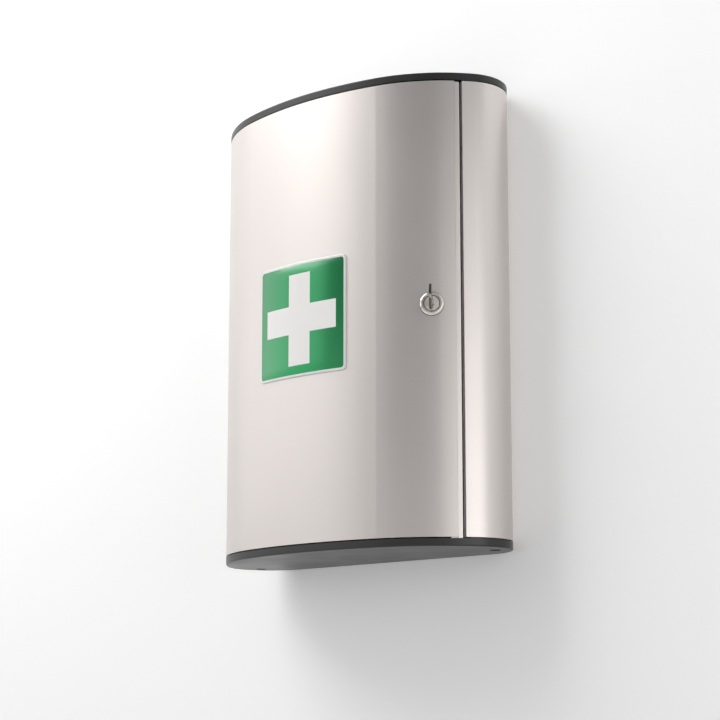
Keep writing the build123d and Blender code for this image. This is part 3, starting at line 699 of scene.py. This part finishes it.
@dataclass
class CamLock:
    """Turned and plated lock barrel with its rosette, set square to the shoulder of the door."""

    place: Pair = (117.1365 * MM, -88.2913 * MM)
    angle: float = math.radians(36.3596)
    rosette_radius: float = 10.1 * MM
    rosette_back: float = 0.5 * MM
    rosette_face: float = 2.9 * MM
    bevel: float = 1.3 * MM
    bevel_edge: float = 0.6 * MM
    edge: float = 0.22 * MM
    lip_radius: float = 7.7 * MM
    dish: float = 0.5 * MM
    bore_radius: float = 6.45 * MM
    groove_radius: float = 6.85 * MM
    groove_depth: float = 0.9 * MM
    groove_edge: float = 0.10 * MM
    body_radius: float = 8.0 * MM
    body_flat: float = 7.0 * MM
    body_end: float = -16.0 * MM
    dot_reach: float = 7.05 * MM
    dot_radius: float = 0.42 * MM
    dot_steps: int = 24
    dot_rings: tuple[Pair, ...] = ((1.0, -0.05 * MM), (1.0, 0.01 * MM), (0.7, 0.03 * MM))
    dish_slope: float = math.radians(30)
    segments: int = 128
    sharp: float = 24.0
    finishes: tuple[Finish, ...] = (Finish.ROSETTE_FACE, Finish.ROSETTE_RIM, Finish.GROOVE_PAINTED_SHADE)

    def at(self, across: float, up: float, out: float) -> Vector:
        """Point of the row frame from a point of the lock.

        Args:
            across: distance along the door's face, to the right.
            up: distance upwards.
            out: distance out of the door's face.

        Returns:
            The point in the row frame.
        """
        along = Vector((math.cos(self.angle), math.sin(self.angle)))
        outward = Vector((math.sin(self.angle), -math.cos(self.angle)))
        plan = Vector(self.place) + across * along + out * outward
        return Vector((plan.x, plan.y, up))

    def rounded(self, corners: Sequence[Triple], steps: int = 7) -> list[Pair]:
        """Closed profile with its corners rounded.

        Args:
            corners: radius from the axis, distance out and corner radius of each corner.
            steps: stretches in each rounded corner.

        Returns:
            Radius and distance out of each point of the profile.
        """
        profile = []
        for number, (radius, out, round_off) in enumerate(corners):
            corner = Vector((radius, out))
            before = Vector(corners[number - 1][:2]) - corner
            after = Vector(corners[(number + 1) % len(corners)][:2]) - corner
            if round_off == 0.0:
                profile.append((radius, out))
                continue
            first = corner + before.normalized() * round_off
            last = corner + after.normalized() * round_off
            for step in range(steps + 1):
                share = step / steps
                point = (1 - share) ** 2 * first + 2 * share * (1 - share) * corner + share ** 2 * last
                profile.append((point.x, point.y))
        return profile

    def ring(self, shape: Shape, radius: float, out: float, count: int, up: float = 0.0,
             flat: float = math.inf) -> list[Vertex]:
        """Ring of vertices square to the lock's axis.

        Args:
            shape: the bmesh that gets them.
            radius: the ring's radius.
            out: distance out of the door's face.
            count: number of vertices.
            up: height of the ring's middle above the axis.
            flat: distance from the axis at which both sides are flattened.

        Returns:
            The vertices.
        """
        turns = (2 * math.pi * number / count for number in range(count))
        return [shape.verts.new(self.at(max(-flat, min(flat, radius * math.cos(turn))),
                                        radius * math.sin(turn) + up, out)) for turn in turns]

    def barrel(self) -> Object:
        """Rosette and body with two flats, as one turned piece.

        Returns:
            The barrel.
        """
        floor = self.rosette_face - self.dish
        corners = (
            (self.bore_radius, self.body_end, 0.0),
            (self.bore_radius, floor - self.groove_depth, 0.0),
            (self.groove_radius, floor - self.groove_depth, self.groove_edge),
            (self.groove_radius, floor, self.groove_edge),
            (self.lip_radius - self.dish * math.tan(self.dish_slope), floor, self.edge),
            (self.lip_radius, self.rosette_face, self.edge),
            (self.rosette_radius - self.bevel, self.rosette_face, self.bevel_edge),
            (self.rosette_radius, self.rosette_face - self.bevel, self.bevel_edge),
            (self.rosette_radius, self.rosette_back, self.edge),
            (self.body_radius, self.rosette_back, 0.0),
            (self.body_radius, self.body_end, self.edge),
        )
        profile = self.rounded(corners)
        shape = bmesh.new()
        rings = []
        for radius, out in profile:
            on_body = out < self.rosette_back + self.edge / 2 and radius < self.body_radius + self.edge
            flat = self.body_flat if on_body else math.inf
            rings.append(self.ring(shape, radius, out, self.segments, flat=flat))
        rim = self.rosette_radius - self.bevel - self.edge / 2
        groove = self.groove_radius + self.groove_edge / 2
        for place, (ring, following) in enumerate(zip(rings, rings[1:] + rings[:1])):
            reaches = (profile[place][0], profile[(place + 1) % len(profile)][0])
            # The groove's faces get painted shade, the bevel's faces the polished finish and the rest the
            # satin one.
            finish = (Finish.ROSETTE_RIM if min(reaches) > rim else
                      Finish.GROOVE_PAINTED_SHADE if max(reaches) < groove else Finish.ROSETTE_FACE)
            for face in bridge(shape, ring, following):
                face.material_index = self.finishes.index(finish)
        return object_from("lock_rosette", shape, self.sharp)

    def dot(self) -> Object:
        """Small dark mark below the plug.

        Returns:
            The mark, a low closed disc.
        """
        floor = self.rosette_face - self.dish
        shape = bmesh.new()
        rings = [self.ring(shape, share * self.dot_radius, floor + out, self.dot_steps, up=-self.dot_reach)
                 for share, out in self.dot_rings]
        loft(shape, rings)
        return object_from("lock_mark", shape)

    def build(self) -> list[Object]:
        """Makes and dresses the barrel and its mark.

        Returns:
            Both pieces, on the door's body.
        """
        barrel, dot = self.barrel(), self.dot()
        for finish in self.finishes:
            barrel.data.materials.append(material_of(finish))
        dress(dot, Finish.MARK)
        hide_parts("lock_barrel")
        for piece in (barrel, dot):
            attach(piece, "door")
        return [barrel, dot]


# Screws and rivets


class Drive(Enum):
    """Recess in a fastener's head."""

    NONE = 0
    HEX = 1
    CROSS = 2


@dataclass(frozen=True)
class Fastener:
    """Sizes of one kind of screw or rivet, in millimetres, with its seat at zero and its head upwards."""

    node: str
    body: str
    slot: str
    finish: Finish
    axis: Triple
    head_base: float
    head_top: float
    head_height: float
    shank_radius: float
    shank_length: float
    tip_radius: float
    tip_height: float
    crown: float = 0.0
    drive: Drive = Drive.NONE
    drive_radius: float = 1.0
    drive_width: float = 0.6
    drive_depth: float = 1.0


class FastenerTree(NodeTree):
    """Geometry Nodes tree, in millimetres, that puts one kind of fastener on each point of a mesh."""

    head_sides = 50
    head_rings = 6
    shank_sides = 40
    hexagon_sides = 6
    into_head = 0.2
    into_tip = 0.05
    top_margin = 0.001
    sharp = 28.0

    def __init__(self, sizes: Fastener) -> None:
        """Builds the tree.

        Args:
            sizes: the kind's sizes.
        """
        super().__init__(bpy.data.node_groups.new(sizes.node + "_on_points", "GeometryNodeTree"))
        self.sizes = sizes
        for name, way in (("Places", "INPUT"), ("Fasteners", "OUTPUT")):
            self.tree.interface.new_socket(name, in_out=way, socket_type="NodeSocketGeometry")
        axis = self.result("GeometryNodeInputNamedAttribute", {"Name": "axis"}, data_type="FLOAT_VECTOR")
        spread = self.result("GeometryNodeInstanceOnPoints", {
            "Points": self.result("NodeGroupInput", {}), "Instance": self.whole(),
            "Rotation": self.result("FunctionNodeAlignRotationToVector", {"Vector": axis}, axis="Z"),
            "Scale": (MM, MM, MM),
        })
        plain = self.result("GeometryNodeRealizeInstances", {"Geometry": spread})
        self.node("NodeGroupOutput", {"Fasteners": plain})

    def cone(self, top: float, base: float, height: float, sides: int) -> Socket:
        """Cone frustum standing on zero, with rings in its end faces.

        Args:
            top: radius at its upper end.
            base: radius at zero.
            height: its height.
            sides: its count of sides.

        Returns:
            The mesh socket.
        """
        return self.result("GeometryNodeMeshCone", {
            "Vertices": sides, "Fill Segments": self.head_rings,
            "Radius Top": top, "Radius Bottom": base, "Depth": height,
        })

    def cylinder(self, radius: float, height: float, sides: int) -> Socket:
        """Upright cylinder centred on the origin."""
        return self.result("GeometryNodeMeshCylinder", {"Vertices": sides, "Radius": radius, "Depth": height})

    def moved(self, mesh: Socket, height: float) -> Socket:
        """Mesh moved upwards by a height."""
        return self.result("GeometryNodeTransform", {"Geometry": mesh, "Translation": (0.0, 0.0, height)})

    def union(self, meshes: Sequence[Socket]) -> Socket:
        """Joins several meshes.

        Args:
            meshes: the mesh sockets.

        Returns:
            The joined mesh's socket.
        """
        joined = self.node("GeometryNodeMeshBoolean", {}, operation="UNION", solver="EXACT")
        for mesh in meshes:
            self.feed(joined.inputs["Mesh 2"], mesh)
        return joined.outputs["Mesh"]

    def head(self) -> Socket:
        """Head whose top face rises to a low dome.

        Returns:
            The mesh socket.
        """
        sizes = self.sizes
        place = self.split(self.result("GeometryNodeInputPosition", {}))
        square = self.calculate("ADD", self.times(place["X"], place["X"]), self.times(place["Y"], place["Y"]))
        share = self.calculate("SUBTRACT", 1.0, self.calculate("DIVIDE", square, sizes.head_top ** 2))
        top = self.calculate("GREATER_THAN", place["Z"], sizes.head_height - self.top_margin)
        rise = self.times(self.times(share, sizes.crown), top)
        return self.result("GeometryNodeSetPosition", {
            "Geometry": self.cone(sizes.head_top, sizes.head_base, sizes.head_height, self.head_sides),
            "Offset": self.result("ShaderNodeCombineXYZ", {"Z": rise}),
        })

    def recess(self) -> Socket:
        """Recess of the drive, centred on zero.

        Returns:
            The mesh socket.
        """
        across, width, depth = 2 * self.sizes.drive_radius, self.sizes.drive_width, 2 * self.sizes.drive_depth
        if self.sizes.drive is Drive.HEX:
            return self.cylinder(self.sizes.drive_radius, depth, self.hexagon_sides)
        return self.union([self.result("GeometryNodeMeshCube", {"Size": size})
                           for size in ((across, width, depth), (width, across, depth))])

    def whole(self) -> Socket:
        """Head, shank and tip as one mesh, with the recess of the drive cut out of the head.

        Returns:
            The mesh socket.
        """
        sizes = self.sizes
        length = sizes.shank_length - sizes.tip_height + self.into_head + self.into_tip
        shank = self.cylinder(sizes.shank_radius, length, self.shank_sides)
        tip = self.cone(sizes.shank_radius, sizes.tip_radius, sizes.tip_height, self.shank_sides)
        whole = self.union([self.head(), self.moved(shank, self.into_head - length / 2),
                            self.moved(tip, -sizes.shank_length)])
        if sizes.drive is Drive.NONE:
            return whole
        recess = self.moved(self.recess(), sizes.head_height + sizes.crown)
        return self.result("GeometryNodeMeshBoolean", {"Mesh 1": whole, "Mesh 2": recess},
                           operation="DIFFERENCE", solver="EXACT")

    def make(self, places: Sequence[tuple[Vector, Vector]]) -> Object:
        """Makes all fasteners of the kind as one plain mesh.

        Args:
            places: seat and axis of each fastener, in the row frame.

        Returns:
            The mesh object, with no modifier left on it.
        """
        points = bpy.data.meshes.new(self.sizes.node + "_places")
        points.from_pydata([tuple(seat) for seat, _ in places], [], [])
        attribute = points.attributes.new("axis", "FLOAT_VECTOR", "POINT")
        for number, (_, axis) in enumerate(places):
            attribute.data[number].vector = axis
        holder = placed(points.name, points)
        holder.modifiers.new("fasteners", "NODES").node_group = self.tree
        graph = bpy.context.evaluated_depsgraph_get()
        mesh = bpy.data.meshes.new_from_object(holder.evaluated_get(graph))
        bpy.data.objects.remove(holder)
        mesh.name = self.sizes.node
        mesh.attributes.remove(mesh.attributes["axis"])
        mesh.materials.clear()
        mesh.materials.append(material_of(self.sizes.finish))
        mesh.polygons.foreach_set("material_index", [0] * len(mesh.polygons))
        mesh.shade_smooth()
        mesh.set_sharp_from_angle(angle=math.radians(self.sharp))
        return placed(self.sizes.node + "_set", mesh)


@dataclass
class Fixings:
    """All screws and rivets that show, each kind on the seats of its own node."""

    kinds: tuple[Fastener, ...] = (
        Fastener("cap_screws", "cabinet", "screws", Finish.CAP_SCREWS, (0, 0, 1),
                 head_base=4.2, head_top=4.05, head_height=2.8,
                 shank_radius=2.1, shank_length=16.0, tip_radius=1.6, tip_height=0.8,
                 drive=Drive.HEX, drive_radius=2.1, drive_depth=1.4),
        Fastener("rail_screws", "door", "screws", Finish.SCREWS, (0, 0, 1),
                 head_base=1.4, head_top=2.75, head_height=1.35,
                 shank_radius=1.4, shank_length=12.0, tip_radius=0.9, tip_height=0.8,
                 drive=Drive.CROSS, drive_radius=1.5, drive_width=0.55, drive_depth=0.8),
        Fastener("shelf_screws", "cabinet", "screws", Finish.SCREWS, (0, -1, 0),
                 head_base=3.4, head_top=2.93, head_height=1.8,
                 shank_radius=1.7, shank_length=5.4, tip_radius=1.2, tip_height=0.6, crown=0.4,
                 drive=Drive.CROSS, drive_radius=1.83, drive_width=0.66, drive_depth=1.07),
        Fastener("back_rivets", "cabinet", "rivets", Finish.RIVET_HEADS, (0, -1, 0),
                 head_base=3.1, head_top=2.63, head_height=0.6,
                 shank_radius=1.6, shank_length=3.3, tip_radius=1.5, tip_height=0.2, crown=0.4),
    )
    decimals: int = 5

    def seats(self, fastener: Fastener, node: Object) -> list[tuple[Vector, Vector]]:
        """Seat and axis of each fastener, from the solids of its node.

        Args:
            fastener: the kind.
            node: the frame's node that holds its solids.

        Returns:
            Seat and axis pairs; an upright axis points away from the middle height.
        """
        shape = bmesh.new()
        shape.from_mesh(node.data)
        bmesh.ops.remove_doubles(shape, verts=shape.verts, dist=WELD)
        left = set(shape.verts)
        places = []
        while left:
            island, edge = set(), [left.pop()]
            while edge:
                vertex = edge.pop()
                island.add(vertex)
                for link in vertex.link_edges:
                    other = link.other_vert(vertex)
                    if other in left:
                        left.discard(other)
                        edge.append(other)
            low = Vector(min(vertex.co[axis] for vertex in island) for axis in range(3))
            high = Vector(max(vertex.co[axis] for vertex in island) for axis in range(3))
            middle = (low + high) / 2
            axis = Vector(fastener.axis)
            if fastener.axis[2] and middle.z < 0:
                axis = -axis
            reach = Vector(abs(part) for part in axis).dot(high - low) / 2
            seat = middle + axis * (reach - (fastener.head_height + fastener.crown) * MM)
            places.append((seat, axis))
        shape.free()
        return sorted(places, key=lambda place: tuple(round(part, self.decimals) for part in place[0]))

    def build(self, nodes: dict[str, Object]) -> list[Object]:
        """Makes and dresses each kind.

        Args:
            nodes: the frame's node objects by name.

        Returns:
            One piece for each kind.
        """
        made = []
        for fastener in self.kinds:
            piece = FastenerTree(fastener).make(self.seats(fastener, nodes[fastener.node]))
            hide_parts(fastener.node)
            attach(piece, fastener.body)
            made.append(piece)
        return made


# Finishes of the nodes that keep their solids

NODE_FINISHES: dict[Finish, tuple[str, ...]] = {
    Finish.ANODISED: ("door_panel", "door_edge_strip", "left_side_profile", "right_side_profile"),
    Finish.CAPS: ("top_cap", "bottom_cap"),
    Finish.RAILS: ("door_top_rail", "door_bottom_rail"),
    Finish.SHELVES: ("upper_shelf", "lower_shelf"),
    Finish.BUSHES: ("hinge_bushes",),
    Finish.SEAL_PAINTED_LIGHT: ("door_seal",),
    Finish.GASKET: ("lock_gasket",),
    Finish.BACK: ("back_panel",),
    Finish.STRIKE: ("strike_strip",),
    Finish.ZINC: ("hinge_pins", "cam_screw", "cam_washer", "lock_cam", "lock_nut"),
    Finish.RIVETS: ("strike_rivets",),
    Finish.PLUG: ("lock_plug",),
    Finish.WAFERS: ("lock_wafers",),
    Finish.KEY: ("key",),
}


def finish_nodes(nodes: dict[str, Object]) -> None:
    """Gives every carried-over node its finish.

    Args:
        nodes: the frame's node objects by name.
    """
    for finish, names in NODE_FINISHES.items():
        for name in names:
            dress(nodes[name], finish)
            LOG.info("node %s: %s", name, finish.name.lower())


# Wall, floor, light and camera


@dataclass(frozen=True)
class Lamp:
    """Soft rectangular lamp aimed at the cabinet; its angles are in degrees, its lengths in metres.

    Its azimuth counts from straight ahead towards the cabinet's right side, and a level of 1 is a white face.
    """

    name: str
    azimuth: float
    elevation: float
    size: Pair
    level: float
    distance: float = 2.0
    target: Triple = (0.0, -0.06, 0.0)

    def build(self) -> None:
        """Puts the lamp in the scene."""
        a, e = math.radians(self.azimuth), math.radians(self.elevation)
        direction = Vector((math.sin(a) * math.cos(e), -math.cos(a) * math.cos(e), math.sin(e)))
        data = bpy.data.lights.new(self.name, "AREA")
        data.shape = "RECTANGLE"
        data.size, data.size_y = self.size
        data.energy = self.level * math.pi * self.size[0] * self.size[1]
        made = placed(self.name, data)
        made.location = direction * self.distance + Vector(self.target)
        made.rotation_euler = direction.to_track_quat("Z", "Y").to_euler()


@dataclass
class Studio:
    """A white wall behind the cabinet, a pale floor, soft lamps and the camera.

    The sky pairs a share of the way from its lowest to its highest level with a grey. The camera's focal
    length is in pixels of the picture, and its rise and turn are in degrees.
    """

    wall_gap: float = 0.6 * MM
    wall_white: float = 1.0
    wall_glow: float = 0.16
    reach: float = 6.0
    floor_level: float = -0.62
    floor_grey: float = 0.80
    floor_glow: float = 0.15
    sky_low: float = -0.30
    sky_high: float = 0.90
    sky: tuple[Pair, ...] = (
        (0.14, 0.30), (0.18, 0.80), (0.23, 0.80), (0.54, 0.15), (0.60, 0.15), (1.0, 0.34))
    lamps: tuple[Lamp, ...] = (
        Lamp("key_light", -52.5, 48.5, (1.68, 1.22), 5.1),
        Lamp("front_light", -52.0, 16.0, (2.75, 1.15), 0.85),
        Lamp("side_light", 70.0, -8.0, (1.15, 1.78), 1.67),
    )
    focal_pixels: float = 1818.6
    picture_pixels: float = 720.0
    sensor_width: float = 36.0
    shift: float = 0.09
    nearest: float = 0.05
    eye: Triple = (1.0299, -1.2289, -0.3485)
    rise: float = 9.62
    turn: float = 40.99

    def sheet(self, name: str, corners: Sequence[Triple], material: Material) -> Object:
        """One flat face that belongs to the setting.

        Args:
            name: the object's name.
            corners: the face's corners in order, in metres.
            material: its material.

        Returns:
            The face's object.
        """
        mesh = bpy.data.meshes.new(name)
        mesh.from_pydata(corners, [], [range(len(corners))])
        mesh.materials.append(material)
        made = placed(name, mesh)
        made.visible_diffuse = False
        return made

    def backdrop_material(self, name: str, grey: float, glow: float) -> Material:
        """Diffuse grey that glows a little for the rays that see it and is clear from behind.

        Args:
            name: the material's name.
            grey: diffuse grey.
            glow: strength added for camera, glossy and transmission rays.

        Returns:
            The material.
        """
        material = bpy.data.materials.new(name)
        material.use_nodes = True
        tree = NodeTree(material.node_tree)
        tree.tree.nodes.clear()
        ray = tree.node("ShaderNodeLightPath", {}).outputs
        seen = tree.calculate("MAXIMUM", ray["Is Camera Ray"], ray["Is Glossy Ray"])
        seen = tree.calculate("MAXIMUM", seen, ray["Is Transmission Ray"])
        diffuse = tree.result("ShaderNodeBsdfDiffuse", {"Color": (grey, grey, grey)})
        emission = tree.result("ShaderNodeEmission", {"Strength": tree.times(seen, glow)})
        front = tree.result("ShaderNodeAddShader", {0: diffuse, 1: emission})
        back = tree.result("ShaderNodeBsdfTransparent", {})
        behind = tree.node("ShaderNodeNewGeometry", {}).outputs["Backfacing"]
        shown = tree.result("ShaderNodeMixShader", {0: behind, 1: front, 2: back})
        tree.node("ShaderNodeOutputMaterial", {"Surface": shown})
        return material

    def build_backdrop(self) -> None:
        """Makes the wall and the floor."""
        far, gap, level = self.reach, self.wall_gap, self.floor_level
        wall = self.sheet("wall", ((-far, gap, -far), (far, gap, -far), (far, gap, far), (-far, gap, far)),
                          self.backdrop_material("wall_white", self.wall_white, self.wall_glow))
        wall.visible_shadow = False
        self.sheet("floor", ((-far, -far, level), (far, -far, level), (far, far, level), (-far, far, level)),
                   self.backdrop_material("floor_pale", self.floor_grey, self.floor_glow))

    def build_light(self) -> None:
        """Makes the sky, whose grey changes with height, and the lamps."""
        world = bpy.data.worlds.new("studio")
        bpy.context.scene.world = world
        world.use_nodes = True
        tree = NodeTree(world.node_tree)
        up = tree.split(tree.node("ShaderNodeTexCoord", {}).outputs["Generated"])["Z"]
        share = tree.result("ShaderNodeMapRange", {"Value": up, "From Min": self.sky_low,
                                                   "From Max": self.sky_high})
        ramp = tree.node("ShaderNodeValToRGB", {"Fac": share})
        ramp.color_ramp.interpolation = "EASE"
        while len(ramp.color_ramp.elements) < len(self.sky):
            ramp.color_ramp.elements.new(0.5)
        for stop, (height, grey) in zip(ramp.color_ramp.elements, self.sky):
            stop.position = height
            stop.color = (grey, grey, grey, 1.0)
        tree.feed(world.node_tree.nodes["Background"].inputs["Color"], ramp.outputs["Color"])
        for lamp in self.lamps:
            lamp.build()

    def build_camera(self) -> None:
        """Puts the camera at the photograph's viewing angle."""
        data = bpy.data.cameras.new("view")
        data.sensor_width = self.sensor_width
        data.lens = self.focal_pixels * self.sensor_width / self.picture_pixels
        data.shift_y = self.shift
        data.clip_start = self.nearest
        camera = placed("view", data)
        camera.location = self.eye
        camera.rotation_euler = Euler((math.radians(90.0 + self.rise), 0.0, math.radians(self.turn)))
        bpy.context.scene.camera = camera

    def build(self) -> None:
        """Makes the backdrop, the light and the camera, and sets the plain view transform."""
        self.build_backdrop()
        self.build_light()
        self.build_camera()
        bpy.context.scene.view_settings.view_transform = "Standard"


def main() -> None:
    """Builds the cabinet's pieces in order and the setting round them."""
    logging.basicConfig(level=logging.INFO, format="%(message)s")
    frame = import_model()
    finish_nodes(frame["nodes"])
    pieces = FirstAidSign().build() + CamLock().build() + Fixings().build(frame["nodes"])
    for piece in pieces:
        LOG.info("piece %s: %d faces", piece.name, len(piece.data.polygons))
    Studio().build()


if __name__ == "__main__":
    main()
